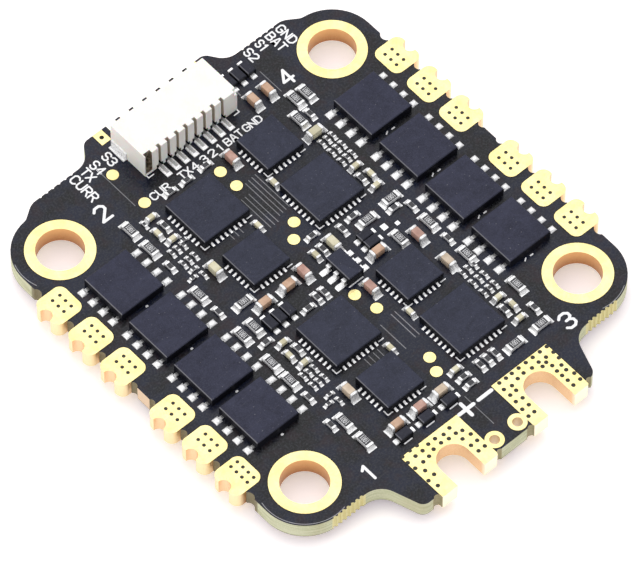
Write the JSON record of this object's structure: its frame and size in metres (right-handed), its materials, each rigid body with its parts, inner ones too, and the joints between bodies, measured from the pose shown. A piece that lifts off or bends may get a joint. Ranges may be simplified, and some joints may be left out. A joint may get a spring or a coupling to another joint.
{
  "type": "electronic speed controller",
  "caption": "Four-in-one brushless motor speed controller: a bare square circuit board with plated mounting holes, motor and battery pads, a signal socket and its soldered parts.",
  "frame": {"origin": "centre of the square mounting hole pattern, in the plane of the laminate's underside", "axes": "+Z out of the component side, +Y towards the signal connector's edge, +X towards the motor pads of motors 3 and 4; the battery pads are on the -Y edge"},
  "size_m": [0.0408, 0.0459, 0.0055],
  "materials": {
    "laminate": "glass fibre and epoxy, sawn edge",
    "solder_mask": "black, glossy",
    "gold_plating": "soft gold plating on copper",
    "via_plug": "dark resin plug",
    "mosfet_mould": "fine matt epoxy moulding",
    "chip_mould": "fine matt epoxy moulding",
    "tinned_metal": "bright tin",
    "connector_nylon": "cream moulded nylon",
    "capacitor_ceramic": "tan sintered ceramic",
    "resistor_body": "black glaze",
    "small_capacitor_ceramic": "cream sintered ceramic",
    "diode_mould": "matt epoxy moulding",
    "white_ink": "screen-printed ink",
    "shunt_metal": "metal strip resistor"
  },
  "bodies": {
    "root": {"battery_pad_negative": "gold_plating", "battery_pad_positive": "gold_plating", "capacitor_bodies": "capacitor_ceramic", "capacitor_terminals": "tinned_metal", "circuit_board": "laminate", "connector_contacts": "tinned_metal", "connector_housing": "connector_nylon", "connector_solder_tabs": "tinned_metal", "current_sense_amplifier": "chip_mould", "diode_bodies": "diode_mould", "gate_driver_1": "chip_mould", "gate_driver_2": "chip_mould", "gate_driver_3": "chip_mould", "gate_driver_4": "chip_mould", "gate_driver_pins": "tinned_metal", "microcontroller_1": "chip_mould", "microcontroller_2": "chip_mould", "microcontroller_3": "chip_mould", "microcontroller_4": "chip_mould", "microcontroller_pins": "tinned_metal", "mosfet_leads_bottom": "tinned_metal", "mosfet_leads_top": "tinned_metal", "mosfet_left_1": "mosfet_mould", "mosfet_left_2": "mosfet_mould", "mosfet_left_3": "mosfet_mould", "mosfet_left_4": "mosfet_mould", "mosfet_right_1": "mosfet_mould", "mosfet_right_2": "mosfet_mould", "mosfet_right_3": "mosfet_mould", "mosfet_right_4": "mosfet_mould", "mosfets_bottom_left": "mosfet_mould", "mosfets_bottom_right": "mosfet_mould", "motor_1_pad_a": "gold_plating", "motor_1_pad_b": "gold_plating", "motor_1_pad_c": "gold_plating", "motor_2_pad_a": "gold_plating", "motor_2_pad_b": "gold_plating", "motor_2_pad_c": "gold_plating", "motor_3_pad_a": "gold_plating", "motor_3_pad_b": "gold_plating", "motor_3_pad_c": "gold_plating", "motor_4_pad_a": "gold_plating", "motor_4_pad_b": "gold_plating", "motor_4_pad_c": "gold_plating", "mounting_hole_plating_1": "gold_plating", "mounting_hole_plating_2": "gold_plating", "mounting_hole_plating_3": "gold_plating", "mounting_hole_plating_4": "gold_plating", "resistor_bodies": "resistor_body", "resistor_terminals": "tinned_metal", "shunt_resistors": "shunt_metal", "signal_pads": "gold_plating", "small_capacitor_bodies": "small_capacitor_ceramic", "small_chip_terminals": "tinned_metal", "small_package_leads": "tinned_metal", "small_resistor_bodies": "resistor_body", "solder_mask_bottom": "solder_mask", "solder_mask_top": "solder_mask", "test_points": "gold_plating", "via_plugs": "via_plug"}
  },
  "joints": []
}
